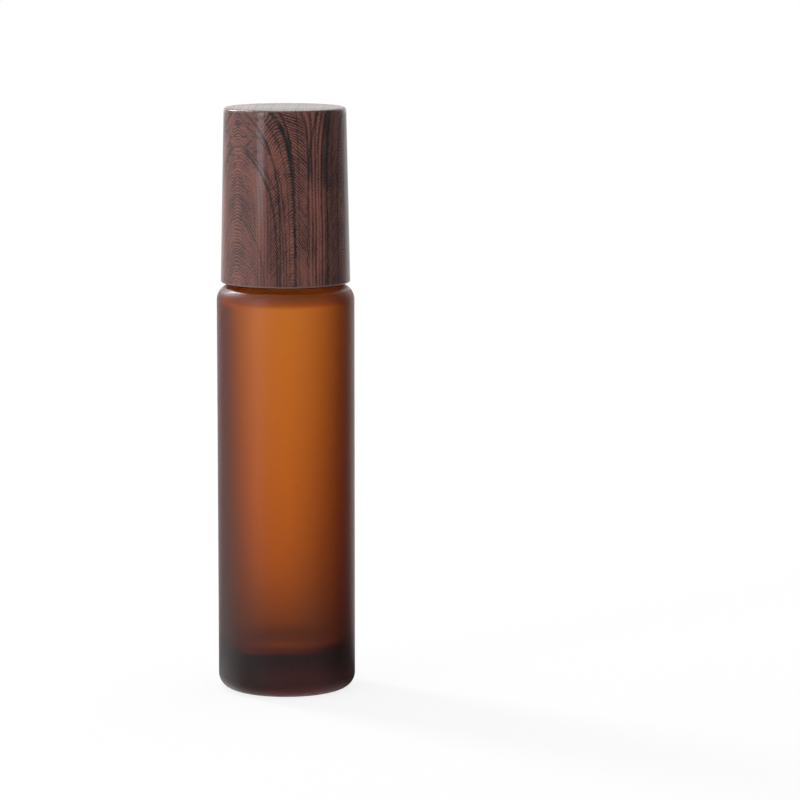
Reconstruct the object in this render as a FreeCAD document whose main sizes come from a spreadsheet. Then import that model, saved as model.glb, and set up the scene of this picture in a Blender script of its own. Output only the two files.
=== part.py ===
"""Roll-on bottle: a frosted glass bottle, a ball in a press-in housing and a lined screw cap.

The bottle stands on its base at z = 0, with its axis along +Z. Every length is in millimetres.
"""

import FreeCAD, Part
import Sketcher

import enum
import math
import operator
import os

SIZES = {
    # Glass bottle, outside
    "body_diameter": 20.2,
    "shoulder_height": 60.1,
    "shoulder_radius": 2.3,
    "heel_radius": 2.2,
    "push_up_diameter": 11.2,
    "push_up_depth": 0.8,
    # Glass bottle, inside: the wall is thinnest at the shoulder
    "glass_wall": 1.5,
    "glass_draft": 0.5,
    "floor_thickness": 6.0,
    "floor_corner_radius": 2.0,
    "shoulder_thickness": 1.1,
    "inner_shoulder_radius": 2.1,
    "throat_radius": 0.8,
    # Neck, a little wider than the flange that sits on its lip
    "neck_height": 12.8,
    "neck_wall": 1.6,
    "neck_margin": 0.2,
    "neck_root_radius": 0.8,
    "lip_radius": 0.4,
    # Roller ball
    "ball_diameter": 10.0,
    "ball_rise": 3.2,
    # Ball housing: a cup that snaps round the ball, a flange on the lip and a ribbed plug
    "ball_clearance": 0.08,
    "cup_wall": 0.87,
    "cup_rim_rise": 1.6,
    "cup_rim_width": 0.45,
    "cup_cone_height": 1.2,
    "flange_ledge": 0.35,
    "flange_thickness": 1.1,
    "flange_radius": 0.2,
    "plug_length": 6.5,
    "plug_gap": 0.35,
    "plug_wall": 1.05,
    "plug_lead_in": 0.5,
    "rib_gap": 0.03,
    "rib_start": 0.9,
    "rib_stop": 1.0,
    "rib_width": 0.8,
    "rib_count": 3,
    "web_thickness": 1.2,
    "feed_ledge": 1.0,
    "slot_width": 1.0,
    "slot_margin": 0.4,
    "slot_count": 4,
    # Cap insert: the threaded liner pressed into the shell
    "thread_depth": 0.8,
    "thread_clearance": 0.15,
    "pilot_clearance": 0.3,
    "pilot_overlap": 0.9,
    "insert_wall": 1.14,
    "insert_roof": 1.5,
    "insert_recess": 0.5,
    "insert_clearance": 0.05,
    # Cap shell, which widens from crown to rim
    "cap_gap": 0.3,
    "cap_wall": 1.0,
    "cap_roof": 1.8,
    "cap_flare": 0.55,
    "cap_top_radius": 0.45,
    "cap_rim_radius": 0.2,
    # Cap seal: the soft disc over the ball
    "seal_thickness": 1.5,
    "seal_edge_radius": 0.2,
    "seal_gap": 0.1,
    "seal_seat_clearance": 0.15,
    "seal_seat_wall": 1.15,
    "seal_seat_depth": 0.9,
}

FULL_TURN = 360.0
TOLERANCE = 1e-4
# The most of a ledge that a round may take up
LEDGE_SHARE = 0.9


class Line(enum.IntEnum):
    """A sketch's own codes for its two axes and for the two ends of a line."""

    UP_AXIS = -2
    ACROSS_AXIS = -1
    START = 1
    END = 2


class Size:
    """A length held twice: as a spreadsheet expression and as the number that it gives now."""

    def __init__(self, text, number):
        self.text = text
        self.number = number

    def joined(self, sign, combine, other):
        if not isinstance(other, Size):
            other = Size(str(other), other)
        return Size(f"({self.text} {sign} {other.text})", combine(self.number, other.number))

    def __add__(self, other):
        return self.joined("+", operator.add, other)

    def __sub__(self, other):
        return self.joined("-", operator.sub, other)

    def __mul__(self, other):
        return self.joined("*", operator.mul, other)

    def __truediv__(self, other):
        return self.joined("/", operator.truediv, other)

    def __neg__(self):
        return Size(f"(-{self.text})", -self.number)

    def root(self):
        return Size(f"sqrt({self.text})", math.sqrt(self.number))

    def at_most(self, limit):
        return Size(f"min({self.text}; {limit.text})", min(self.number, limit.number))


def make_sheet(doc):
    """Write the driving dimensions to a spreadsheet and return each one as a Size, by name."""
    sheet = doc.addObject("Spreadsheet::Sheet", "sizes")
    named = {}
    for row, (alias, number) in enumerate(SIZES.items(), start=1):
        sheet.set(f"A{row}", alias.replace("_", " "))
        sheet.set(f"B{row}", str(number))
        sheet.setAlias(f"B{row}", alias)
        named[alias] = Size(f"sizes.{alias}", number)
    doc.recompute()
    return named


class Layout:
    """The radii and heights that more than one piece reads, worked out from the driving dimensions."""

    def __init__(self, size):
        # Heights, from the base up
        self.shoulder = size["shoulder_height"]
        self.lip = self.shoulder + size["neck_height"]
        self.ball_centre = self.lip + size["ball_rise"]
        self.ball = size["ball_diameter"] / 2
        self.seal_bottom = self.ball_centre + self.ball + size["seal_gap"]
        self.seal_top = self.seal_bottom + size["seal_thickness"]
        self.insert_top = self.seal_top + size["insert_roof"]
        self.cap_bottom = self.shoulder + size["cap_gap"]
        self.cap_top = self.insert_top + size["cap_roof"]
        # Radii, from the ball outwards
        self.socket = self.ball + size["ball_clearance"]
        self.cup = self.socket + size["cup_wall"]
        self.flange = self.cup + size["flange_ledge"]
        self.neck = self.flange + size["neck_margin"]
        self.bore = self.neck - size["neck_wall"]
        self.pilot = self.neck + size["pilot_clearance"]
        self.thread = self.neck + size["thread_depth"] + size["thread_clearance"]
        self.seal_seat = self.pilot - size["seal_seat_wall"]
        self.insert_crown = self.pilot + size["insert_wall"]
        self.shell_ceiling = self.insert_crown + size["insert_clearance"]
        self.taper = size["cap_flare"] / (self.cap_top - self.cap_bottom)

    def flared(self, radius, height):
        """Widen a radius that holds at the shell's ceiling to what the cap's taper makes it at a height."""
        return radius + (self.insert_top - height) * self.taper


class Piece:
    """One sub-part: a body whose features are bound to the spreadsheet as they are added."""

    def __init__(self, doc, label):
        self.doc = doc
        self.body = doc.addObject("PartDesign::Body", label)
        self.body.Label = label
        self.volume = 0.0

    def origin(self, role):
        """The body's own origin plane or axis of a role."""
        return next(each for each in self.body.Origin.OriginFeatures if each.Role == role)

    def attach(self, feature, role, shift):
        """Lay a feature on an origin plane, shifted by Sizes along the plane's own axes."""
        feature.AttachmentSupport = [(self.origin(role), "")]
        feature.MapMode = "FlatFace"
        for axis, amount in shift.items():
            feature.setExpression(f"AttachmentOffset.Base.{axis}", amount.text)

    def sketch(self, name, role, corners, **shift):
        """Draw a closed outline of straight lines; a corner's coordinate is a Size, or 0 on an axis."""
        sketch = self.body.newObject("Sketcher::SketchObject", name)
        self.attach(sketch, role, shift)
        spots = [
            FreeCAD.Vector(*[each.number if isinstance(each, Size) else 0 for each in corner], 0)
            for corner in corners
        ]
        following = [(index + 1) % len(spots) for index in range(len(spots))]
        for spot, after in zip(spots, following):
            sketch.addGeometry(Part.LineSegment(spot, spots[after]), False)
        for index, after in enumerate(following):
            sketch.addConstraint(Sketcher.Constraint("Coincident", index, Line.END, after, Line.START))
        for index, (across, up) in enumerate(corners):
            self.hold(sketch, "DistanceX", index, across, Line.UP_AXIS)
            self.hold(sketch, "DistanceY", index, up, Line.ACROSS_AXIS)
        self.doc.recompute()
        return sketch

    def hold(self, sketch, kind, index, where, axis):
        """Fix one coordinate of a corner: on the axis, or at a distance bound to the spreadsheet."""
        if not isinstance(where, Size):
            sketch.addConstraint(Sketcher.Constraint("PointOnObject", index, Line.START, axis))
            return
        origin = (Line.ACROSS_AXIS, Line.START)
        number = sketch.addConstraint(Sketcher.Constraint(kind, *origin, index, Line.START, where.number))
        name = f"{kind[-1]}{index}_corner"
        sketch.renameConstraint(number, name)
        sketch.setExpression(f"Constraints.{name}", where.text)

    def finish(self, feature, cuts):
        """Recompute, and refuse a cut that took nothing away or an addition that added nothing."""
        before = self.volume
        self.settle(feature)
        grown = self.volume - before
        if (grown > -TOLERANCE) if cuts else (grown < TOLERANCE):
            raise RuntimeError(f"{self.body.Label}: {feature.Name} changed the volume by {grown:.5f}")
        return feature

    def settle(self, feature):
        """Make a feature the body's tip, recompute, and note the volume that the body has now."""
        self.body.Tip = feature
        self.doc.recompute()
        self.volume = feature.Shape.Volume

    def revolve(self, name, corners, cuts=False):
        """Turn an outline of (radius, height) corners about the axis, as material or as a cut."""
        outline = self.sketch(f"{name}_outline", "XZ_Plane", corners)
        kind = "PartDesign::Groove" if cuts else "PartDesign::Revolution"
        feature = self.body.newObject(kind, name)
        feature.Profile = outline
        feature.ReferenceAxis = (outline, ["V_Axis"])
        feature.Angle = FULL_TURN
        return self.finish(feature, cuts)

    def sphere(self, name, radius, height, cuts=False):
        """Add or cut away a sphere centred on the axis."""
        kind = "PartDesign::SubtractiveSphere" if cuts else "PartDesign::AdditiveSphere"
        feature = self.body.newObject(kind, name)
        self.attach(feature, "XY_Plane", {"z": height})
        feature.setExpression("Radius", radius.text)
        return self.finish(feature, cuts)

    def rings(self, radius, height):
        """Names of the tip's circular edges of a radius at a height."""
        found = []
        for number, edge in enumerate(self.body.Tip.Shape.Edges, start=1):
            if edge.Degenerated or not isinstance(edge.Curve, Part.Circle):
                continue
            off_radius = abs(edge.Curve.Radius - radius.number)
            off_height = abs(edge.Curve.Center.z - (height.number if isinstance(height, Size) else 0))
            if max(off_radius, off_height) < TOLERANCE:
                found.append(f"Edge{number}")
        if not found:
            raise RuntimeError(f"{self.body.Label}: no ring of radius {radius.number:.3f}")
        return found

    def ease(self, name, radius, height, amount, kind="PartDesign::Fillet", bound="Radius"):
        """Round the ring of a radius at a height, or bevel it."""
        base = self.body.Tip
        edges = self.rings(radius, height)
        feature = self.body.newObject(kind, name)
        feature.Base = (base, edges)
        feature.setExpression(bound, amount.text)
        self.settle(feature)

    def bevel(self, name, radius, height, amount):
        """Bevel the ring of a radius at a height."""
        self.ease(name, radius, height, amount, "PartDesign::Chamfer", "Size")

    def repeat(self, kind, name, original, bindings):
        """Pattern a feature, with the pattern's own properties bound to the spreadsheet."""
        pattern = self.body.newObject(kind, name)
        pattern.Originals = [original]
        for key, text in bindings.items():
            pattern.setExpression(key, text)
        return pattern


def glass_bottle(doc, size, place):
    """Thick-floored bottle whose wall thickens downwards, with a rounded heel and shoulder and a plain neck."""
    piece = Piece(doc, "glass_bottle")
    body = size["body_diameter"] / 2
    piece.revolve("outside", [
        (0, 0),
        (body, 0),
        (body, place.shoulder),
        (place.neck, place.shoulder),
        (place.neck, place.lip),
        (0, place.lip),
    ])
    cavity = body - size["glass_wall"]
    foot = cavity - size["glass_draft"]
    floor = size["floor_thickness"]
    ceiling = place.shoulder - size["shoulder_thickness"]
    piece.revolve("cavity", [
        (0, floor),
        (foot, floor),
        (cavity, ceiling),
        (place.bore, ceiling),
        (place.bore, place.lip),
        (0, place.lip),
    ], cuts=True)
    depth = size["push_up_depth"]
    half_chord = size["push_up_diameter"] / 2
    dome = (half_chord * half_chord + depth * depth) / (depth * 2)
    piece.sphere("push_up", dome, depth - dome, cuts=True)
    root = size["neck_root_radius"]
    throat = size["throat_radius"]
    shoulder_room = (body - place.neck - root) * LEDGE_SHARE
    inner_room = (cavity - place.bore - throat) * LEDGE_SHARE
    piece.ease("heel", body, 0, size["heel_radius"])
    piece.ease("shoulder_round", body, place.shoulder, size["shoulder_radius"].at_most(shoulder_room))
    piece.ease("neck_root", place.neck, place.shoulder, root)
    piece.ease("lip_outside", place.neck, place.lip, size["lip_radius"])
    piece.ease("lip_inside", place.bore, place.lip, size["lip_radius"])
    piece.ease("floor_corner", foot, floor, size["floor_corner_radius"])
    piece.ease("inner_shoulder", cavity, ceiling, size["inner_shoulder_radius"].at_most(inner_room))
    piece.ease("throat", place.bore, ceiling, throat)
    return piece.body


def ball_housing(doc, size, place):
    """Press-in fitment: ribbed hollow plug, flange, and a cup whose rim closes past the ball's middle."""
    piece = Piece(doc, "ball_housing")
    plug = place.bore - size["plug_gap"]
    core = plug - size["plug_wall"]
    feed = core - size["feed_ledge"]
    rise = size["cup_rim_rise"]
    mouth = (place.socket * place.socket - rise * rise).root()
    bottom = place.lip - size["plug_length"]
    flange_top = place.lip + size["flange_thickness"]
    rim = place.ball_centre + rise
    web = place.ball_centre - place.socket - size["web_thickness"]

    piece.revolve("outside", [
        (0, bottom),
        (plug, bottom),
        (plug, place.lip),
        (place.flange, place.lip),
        (place.flange, flange_top),
        (place.cup, flange_top),
        (place.cup, rim - size["cup_cone_height"]),
        (mouth + size["cup_rim_width"], rim),
        (0, rim),
    ])
    piece.revolve("core", [
        (0, bottom),
        (core, bottom),
        (core, web),
        (feed, web),
        (feed, place.ball_centre),
        (0, place.ball_centre),
    ], cuts=True)
    piece.sphere("socket", place.socket, place.ball_centre, cuts=True)
    feed_slots(piece, size, core - size["slot_margin"], web, place.ball_centre - web)
    piece.bevel("lead_in", plug, bottom, size["plug_lead_in"])
    piece.ease("flange_top_edge", place.flange, flange_top, size["flange_radius"])
    piece.ease("flange_lower_edge", place.flange, place.lip, size["flange_radius"])
    plug_ribs(piece, size, plug, bottom + size["rib_start"], place.bore - size["rib_gap"])
    return piece.body


def feed_slots(piece, size, reach, web, length):
    """Slots round the feed hole, cut from under the web up into the open socket."""
    width = size["slot_width"]
    corners = [(0, 0), (reach, 0), (reach, width), (0, width)]
    slot = piece.body.newObject("PartDesign::Pocket", "slot")
    slot.Profile = piece.sketch("slot_outline", "XY_Plane", corners, y=-(width / 2), z=web)
    slot.Reversed = True
    slot.setExpression("Length", length.text)
    piece.finish(slot, cuts=True)
    bindings = {"Occurrences": size["slot_count"].text}
    slots = piece.repeat("PartDesign::PolarPattern", "slots", slot, bindings)
    slots.Axis = (piece.origin("Z_Axis"), [""])
    slots.Angle = FULL_TURN
    piece.finish(slots, cuts=True)


def plug_ribs(piece, size, plug, start, crest):
    """Barbed rings round the plug that grip the neck's bore."""
    root = plug - size["plug_gap"]
    end = start + size["rib_width"]
    rib = piece.revolve("rib", [
        (root, start),
        (plug, start),
        (crest, start + (crest - plug)),
        (crest, end),
        (root, end),
    ])
    run = size["plug_length"] - size["rib_start"] - size["rib_width"] - size["rib_stop"]
    bindings = {"Length": run.text, "Occurrences": size["rib_count"].text}
    ribs = piece.repeat("PartDesign::LinearPattern", "ribs", rib, bindings)
    ribs.Direction = (piece.origin("Z_Axis"), [""])
    piece.finish(ribs, cuts=False)


def roller_ball(doc, size, place):
    """Solid ball, held in the housing's cup and free to roll."""
    piece = Piece(doc, "roller_ball")
    piece.sphere("ball", place.ball, place.ball_centre)
    return piece.body


def cap_shell(doc, size, place):
    """Tapered outer cap with a flat top, a softened crown edge and a plain open rim."""
    piece = Piece(doc, "cap_shell")
    ceiling = place.insert_top
    mouth = place.flared(place.shell_ceiling, place.cap_bottom)
    rim = mouth + size["cap_wall"]
    crown = rim - size["cap_flare"]
    piece.revolve("shell", [
        (mouth, place.cap_bottom),
        (rim, place.cap_bottom),
        (crown, place.cap_top),
        (0, place.cap_top),
        (0, ceiling),
        (place.shell_ceiling, ceiling),
    ])
    piece.ease("crown_edge", crown, place.cap_top, size["cap_top_radius"])
    piece.ease("rim_edge", rim, place.cap_bottom, size["cap_rim_radius"])
    return piece.body


def cap_insert(doc, size, place):
    """Liner that fills the shell: a wide bore over the neck's thread, a pilot bore and the seal's seat."""
    piece = Piece(doc, "cap_insert")
    bottom = place.cap_bottom + size["insert_recess"]
    step = place.lip - size["pilot_overlap"]
    seat = place.seal_top - size["seal_seat_depth"]
    piece.revolve("liner", [
        (place.thread, bottom),
        (place.flared(place.insert_crown, bottom), bottom),
        (place.insert_crown, place.insert_top),
        (0, place.insert_top),
        (0, place.seal_top),
        (place.seal_seat, place.seal_top),
        (place.seal_seat, seat),
        (place.pilot, seat),
        (place.pilot, step),
        (place.thread, step),
    ])
    return piece.body


def cap_seal(doc, size, place):
    """Soft disc in the liner's seat, just clear of the ball."""
    piece = Piece(doc, "cap_seal")
    radius = place.seal_seat - size["seal_seat_clearance"]
    piece.revolve("disc", [
        (0, place.seal_bottom),
        (radius, place.seal_bottom),
        (radius, place.seal_top),
        (0, place.seal_top),
    ])
    piece.ease("disc_edge", radius, place.seal_bottom, size["seal_edge_radius"])
    return piece.body


def check(doc, bodies):
    """Stop before anything is written if an object failed or a piece isn't one sound solid."""
    doc.recompute()
    failed = [each.Name for each in doc.Objects if {"Invalid", "Error"} & set(each.State)]
    if failed:
        raise RuntimeError(f"failed objects: {failed}")
    for body in bodies:
        shape = body.Shape
        if shape.isNull() or not shape.isValid() or len(shape.Solids) != 1:
            raise RuntimeError(f"{body.Label} isn't one valid solid")


def main():
    doc = FreeCAD.newDocument("roll_on_bottle")
    size = make_sheet(doc)
    place = Layout(size)
    makers = (glass_bottle, ball_housing, roller_ball, cap_shell, cap_insert, cap_seal)
    bodies = [make(doc, size, place) for make in makers]
    check(doc, bodies)
    os.makedirs("parts", exist_ok=True)
    for body in bodies:
        body.Shape.exportStep(f"parts/{body.Label}.step")
        box = body.Shape.BoundBox
        print(f"{body.Label}: {body.Shape.Volume:.1f} mm3, z {box.ZMin:.2f} to {box.ZMax:.2f}")


main()
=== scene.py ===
"""Roll-on bottle: frosted amber glass, a steel roller ball in its fitment and a wood-grain screw cap.

Outlines are drawn in millimetres as (radius, height) corners and turned about the bottle's axis. Each mesh is
scaled to metres when it becomes an object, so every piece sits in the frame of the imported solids.
"""

import logging
import math
from dataclasses import dataclass
from enum import Enum
from typing import Any, Sequence, Union

import bmesh
import bpy
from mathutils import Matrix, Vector


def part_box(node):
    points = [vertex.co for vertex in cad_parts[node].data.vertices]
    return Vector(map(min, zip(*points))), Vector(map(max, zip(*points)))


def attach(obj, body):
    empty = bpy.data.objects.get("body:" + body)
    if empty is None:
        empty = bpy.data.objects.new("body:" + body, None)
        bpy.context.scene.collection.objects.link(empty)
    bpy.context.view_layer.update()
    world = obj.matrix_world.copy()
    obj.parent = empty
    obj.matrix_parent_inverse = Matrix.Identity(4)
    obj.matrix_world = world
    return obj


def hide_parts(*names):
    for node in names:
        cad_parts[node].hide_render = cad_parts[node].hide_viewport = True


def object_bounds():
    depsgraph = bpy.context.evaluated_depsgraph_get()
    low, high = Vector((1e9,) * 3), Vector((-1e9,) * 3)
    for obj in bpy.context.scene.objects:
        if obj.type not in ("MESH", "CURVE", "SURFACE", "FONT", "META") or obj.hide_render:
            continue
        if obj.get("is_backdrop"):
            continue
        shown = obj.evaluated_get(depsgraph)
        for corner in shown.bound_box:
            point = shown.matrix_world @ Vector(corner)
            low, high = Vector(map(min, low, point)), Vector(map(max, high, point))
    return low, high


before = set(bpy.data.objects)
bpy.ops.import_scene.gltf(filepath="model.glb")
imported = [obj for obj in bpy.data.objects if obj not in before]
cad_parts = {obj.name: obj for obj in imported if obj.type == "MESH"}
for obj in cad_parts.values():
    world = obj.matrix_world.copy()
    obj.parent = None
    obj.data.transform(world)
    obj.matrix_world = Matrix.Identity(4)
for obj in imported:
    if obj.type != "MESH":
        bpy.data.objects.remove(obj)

MM = 0.001
FULL_TURN = 2 * math.pi
SMOOTH_ANGLE = math.radians(32)
MERGE_MM = 1e-4
LEAST_SEGMENTS = 4
SEGMENTS_PER_MM = 6
FEW_OCTAVES = 2.0
MORE_OCTAVES = 3.0

Colour = tuple[float, float, float]
Span = tuple[float, float]
Value = Union["Wire", float, Colour]

WHITE: Colour = (1.0, 1.0, 1.0)

log = logging.getLogger("roll_on_bottle")


def top_of(node: str) -> float:
    """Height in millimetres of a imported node's highest point."""
    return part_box(node)[1].z / MM


def bottom_of(node: str) -> float:
    """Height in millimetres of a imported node's lowest point."""
    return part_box(node)[0].z / MM


def radius_of(node: str) -> float:
    """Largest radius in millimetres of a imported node, which is round about the bottle's axis."""
    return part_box(node)[1].x / MM


def smooth_step(amount: float) -> float:
    """Ease a number from 0 to 1 with level ends."""
    amount = min(max(amount, 0.0), 1.0)
    return amount * amount * (3 - 2 * amount)


class Wire:
    """An output socket of a shader, whose arithmetic adds Math nodes to the same tree."""

    def __init__(self, shader: "Shader", socket: bpy.types.NodeSocket) -> None:
        """Remember the shader and the socket."""
        self.shader = shader
        self.socket = socket

    def math(self, operation: str, *others: Value) -> "Wire":
        """Add a Math node with this wire as its first value.

        Args:
            operation: The Math node's operation.
            others: Its second and third values.

        Returns:
            The node's result.
        """
        inputs = dict(enumerate((self, *others)))
        return self.shader.node("ShaderNodeMath", {"operation": operation}, inputs)

    def __add__(self, other: Value) -> "Wire":
        """Sum."""
        return self.math("ADD", other)

    __radd__ = __add__

    def __mul__(self, other: Value) -> "Wire":
        """Product."""
        return self.math("MULTIPLY", other)

    __rmul__ = __mul__

    def __sub__(self, other: Value) -> "Wire":
        """Difference."""
        return self.math("SUBTRACT", other)

    def __rsub__(self, other: float) -> "Wire":
        """Difference from a number."""
        return self.math("MULTIPLY_ADD", -1.0, other)

    def __truediv__(self, other: Value) -> "Wire":
        """Quotient."""
        return self.math("DIVIDE", other)

    def __abs__(self) -> "Wire":
        """Size without sign."""
        return self.math("ABSOLUTE")

    def wave(self) -> "Wire":
        """Sine of this wire, in whole turns, brought to the range 0 to 1."""
        return (self * FULL_TURN).math("SINE") * 0.5 + 0.5

    def rise(self, low: float, high: float) -> "Wire":
        """Ease from 0 at one value to 1 at another.

        Args:
            low: Where the result leaves 0.
            high: Where it reaches 1; below low, the result falls instead.

        Returns:
            The eased value.
        """
        settings = {"interpolation_type": "SMOOTHSTEP"}
        if high < low:
            return 1 - self.shader.node("ShaderNodeMapRange", settings, {0: self, 1: high, 2: low})
        return self.shader.node("ShaderNodeMapRange", settings, {0: self, 1: low, 2: high})


class Shader:
    """The node tree of a material or the world, built through one method that adds any node."""

    def __init__(self, owner: Union[bpy.types.Material, bpy.types.World]) -> None:
        """Empty the owner's tree but for an output node.

        Args:
            owner: The material or the world.
        """
        owner.use_nodes = True
        self.owner = owner
        self.tree = owner.node_tree
        self.tree.nodes.clear()
        family = "World" if isinstance(owner, bpy.types.World) else "Material"
        self.output = self.tree.nodes.new(f"ShaderNodeOutput{family}")

    @classmethod
    def material(cls, name: str) -> "Shader":
        """Start a new material."""
        return cls(bpy.data.materials.new(name))

    def node(
        self,
        kind: str,
        settings: dict[str, Any],
        inputs: dict[Union[int, str], Value],
        output: Union[int, str] = 0,
    ) -> Wire:
        """Add a node.

        Args:
            kind: The node's type.
            settings: Its properties, set before its sockets; "stops" are a colour ramp's.
            inputs: Values or wires for its input sockets, by name or number.
            output: The output socket to hand back.

        Returns:
            The chosen output.
        """
        node = self.tree.nodes.new(kind)
        for key, value in settings.items():
            if key == "stops":
                self.set_stops(node.color_ramp, value)
            else:
                setattr(node, key, value)
        for key, value in inputs.items():
            self.feed(node.inputs[key], value)
        return Wire(self, node.outputs[output])

    def feed(self, socket: bpy.types.NodeSocket, value: Value) -> None:
        """Link a wire to a socket, or set a number or colour on it.

        Args:
            socket: The input socket.
            value: What it gets.
        """
        if isinstance(value, Wire):
            self.tree.links.new(value.socket, socket)
        elif socket.type == "RGBA":
            socket.default_value = (*value, 1.0)
        else:
            socket.default_value = value

    @staticmethod
    def set_stops(ramp: bpy.types.ColorRamp, stops: Sequence[tuple[float, Colour]]) -> None:
        """Give a colour ramp its stops.

        Args:
            ramp: The ramp.
            stops: Places from 0 to 1 with their colours.
        """
        while len(ramp.elements) < len(stops):
            ramp.elements.new(1.0)
        for element, (place, colour) in zip(ramp.elements, stops):
            element.position = place
            element.color = (*colour, 1.0)

    def place(self) -> Wire:
        """Object coordinates, which are the frame's own in metres."""
        return self.node("ShaderNodeTexCoord", {}, {}, "Object")

    def axes(self, vector: Wire) -> tuple[Wire, Wire, Wire]:
        """Split a vector into its parts.

        Args:
            vector: The vector.

        Returns:
            Its three parts.
        """
        first = self.node("ShaderNodeSeparateXYZ", {}, {0: vector})
        parts = first.socket.node.outputs
        return Wire(self, parts[0]), Wire(self, parts[1]), Wire(self, parts[2])

    def joined(self, x: Value, y: Value, z: Value) -> Wire:
        """Join three numbers into a vector."""
        return self.node("ShaderNodeCombineXYZ", {}, {0: x, 1: y, 2: z})

    def scaled(self, vector: Wire, factors: tuple[float, float, float]) -> Wire:
        """Stretch a vector by a factor along each axis."""
        settings = {"operation": "MULTIPLY"}
        return self.node("ShaderNodeVectorMath", settings, {0: vector, 1: factors})

    def noise(self, vector: Wire, scale: float, octaves: float) -> Wire:
        """Smooth noise over a vector, from 0 to 1.

        Args:
            vector: Where to read the noise.
            scale: Waves per unit of the vector.
            octaves: How many finer noises are laid over the first.

        Returns:
            The noise value.
        """
        inputs = {"Vector": vector, "Scale": scale, "Detail": octaves}
        return self.node("ShaderNodeTexNoise", {"noise_dimensions": "3D"}, inputs, "Fac")

    def mix(self, factor: Value, first: Value, second: Value) -> Wire:
        """Blend two colours."""
        inputs = {0: factor, 6: first, 7: second}
        return self.node("ShaderNodeMix", {"data_type": "RGBA"}, inputs, 2)

    def pick(self, factor: Value, first: Value, second: Value) -> Wire:
        """Blend two numbers."""
        return self.node("ShaderNodeMix", {"data_type": "FLOAT"}, {0: factor, 2: first, 3: second})

    def bump(self, height: Wire, depth_mm: float) -> Wire:
        """Turn a height from 0 to 1 into a normal.

        Args:
            height: The height.
            depth_mm: What a height of 1 stands for.

        Returns:
            The bent normal.
        """
        inputs = {"Distance": depth_mm * MM, "Height": height}
        return self.node("ShaderNodeBump", {}, inputs, "Normal")

    def principled(self, inputs: dict[str, Value]) -> None:
        """Add a Principled BSDF and make it the material's surface."""
        surface = self.node("ShaderNodeBsdfPrincipled", {}, inputs, "BSDF")
        self.feed(self.output.inputs["Surface"], surface)


@dataclass(frozen=True)
class FrostedGlass:
    """Amber glass, etched to a fine satin outside and smooth inside."""

    absorb_colour: Colour = (0.897, 0.59, 0.027)
    absorb_density: float = 1380.0
    outside_roughness: float = 0.41
    inside_roughness: float = 0.1
    refraction: float = 1.5
    grain_per_m: float = 5200.0
    grain_depth_mm: float = 0.012
    cloud_per_m: float = 140.0
    cloud_depth: float = 0.06
    side_blend: float = 0.3
    shoulder_span: Span = (0.3, 0.7)
    neck_span: Span = (0.3, 1.0)
    base_span: Span = (0.8, 0.6)

    def material(
        self,
        split_radius: float,
        neck_radius: float,
        ceiling: float,
        floor: float,
    ) -> bpy.types.Material:
        """Make the glass. Lengths are in millimetres.

        Args:
            split_radius: Radius between the smooth inside and the etched outside.
            neck_radius: Radius of the neck, which the cap covers and which is left smooth.
            ceiling: Height of the inside's top, above which the shoulder is etched.
            floor: Height of the inside's floor, below which the base is etched.

        Returns:
            The material.
        """
        shader = Shader.material("frosted_amber_glass")
        place = shader.place()
        x, y, z = shader.axes(place)
        radius = ((x * x + y * y).math("SQRT")) / MM
        height = z / MM
        sides = radius.rise(split_radius - self.side_blend, split_radius + self.side_blend)
        shoulder = height.rise(*(ceiling + above for above in self.shoulder_span))
        shoulder = shoulder * radius.rise(*(neck_radius + beyond for beyond in self.neck_span))
        base = height.rise(*(floor * share for share in self.base_span))
        etched = sides.math("MAXIMUM", shoulder).math("MAXIMUM", base)
        cloud = shader.noise(place, self.cloud_per_m, MORE_OCTAVES)
        change = self.outside_roughness - self.inside_roughness
        roughness = etched * (change + (cloud - 0.5) * self.cloud_depth)
        grain = shader.noise(place, self.grain_per_m, FEW_OCTAVES) * etched
        shader.principled({
            "Base Color": WHITE,
            "Roughness": roughness + self.inside_roughness,
            "IOR": self.refraction,
            "Transmission Weight": 1.0,
            "Normal": shader.bump(grain, self.grain_depth_mm),
        })
        inputs = {"Color": self.absorb_colour, "Density": self.absorb_density}
        amber = shader.node("ShaderNodeVolumeAbsorption", {}, inputs)
        shader.feed(shader.output.inputs["Volume"], amber)
        return shader.owner


@dataclass(frozen=True)
class Streak:
    """A dark streak of the print, in millimetres.

    It runs down the cap at its reach from the arches' axis. Towards the crown it bends to the axis and would
    meet it at its apex, or bends away as much where it leans outwards.
    """

    reach: float
    apex: float
    width: float
    strength: float
    leans_out: bool = False

    def pull(self, decay: float) -> float:
        """How strongly the streak bends away from its reach at the rim's height."""
        bend = self.reach * math.exp(-self.apex / decay)
        return -bend if self.leans_out else bend


@dataclass(frozen=True)
class Grain:
    """Noise stretched over the print, in waves per millimetre along two directions.

    The seed sets noises apart from each other, and the shift sets the far side of the cap apart.
    """

    first: float
    second: float
    seed: float
    octaves: float
    shift: float = 0.0
    span: Span = (0.0, 1.0)
    strength: float = 1.0

    def read(self, first: Wire, second: Wire, far: Wire) -> Wire:
        """The noise at a place.

        Args:
            first: Length along the first direction.
            second: Length along the second direction.
            far: Place on the far side.

        Returns:
            The noise value, from 0 to 1.
        """
        seed = far * self.shift + self.seed if self.shift else self.seed
        spot = first.shader.joined(first * self.first, second * self.second, seed)
        return first.shader.noise(spot, 1.0, self.octaves)

    def stepped(self, first: Wire, second: Wire, far: Wire) -> Wire:
        """The noise with its middle part stretched to the whole range."""
        return self.read(first, second, far).rise(*self.span)

    def swing(self, first: Wire, second: Wire, far: Wire) -> Wire:
        """The noise about zero, at its strength."""
        return (self.read(first, second, far) - 0.5) * self.strength


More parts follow.
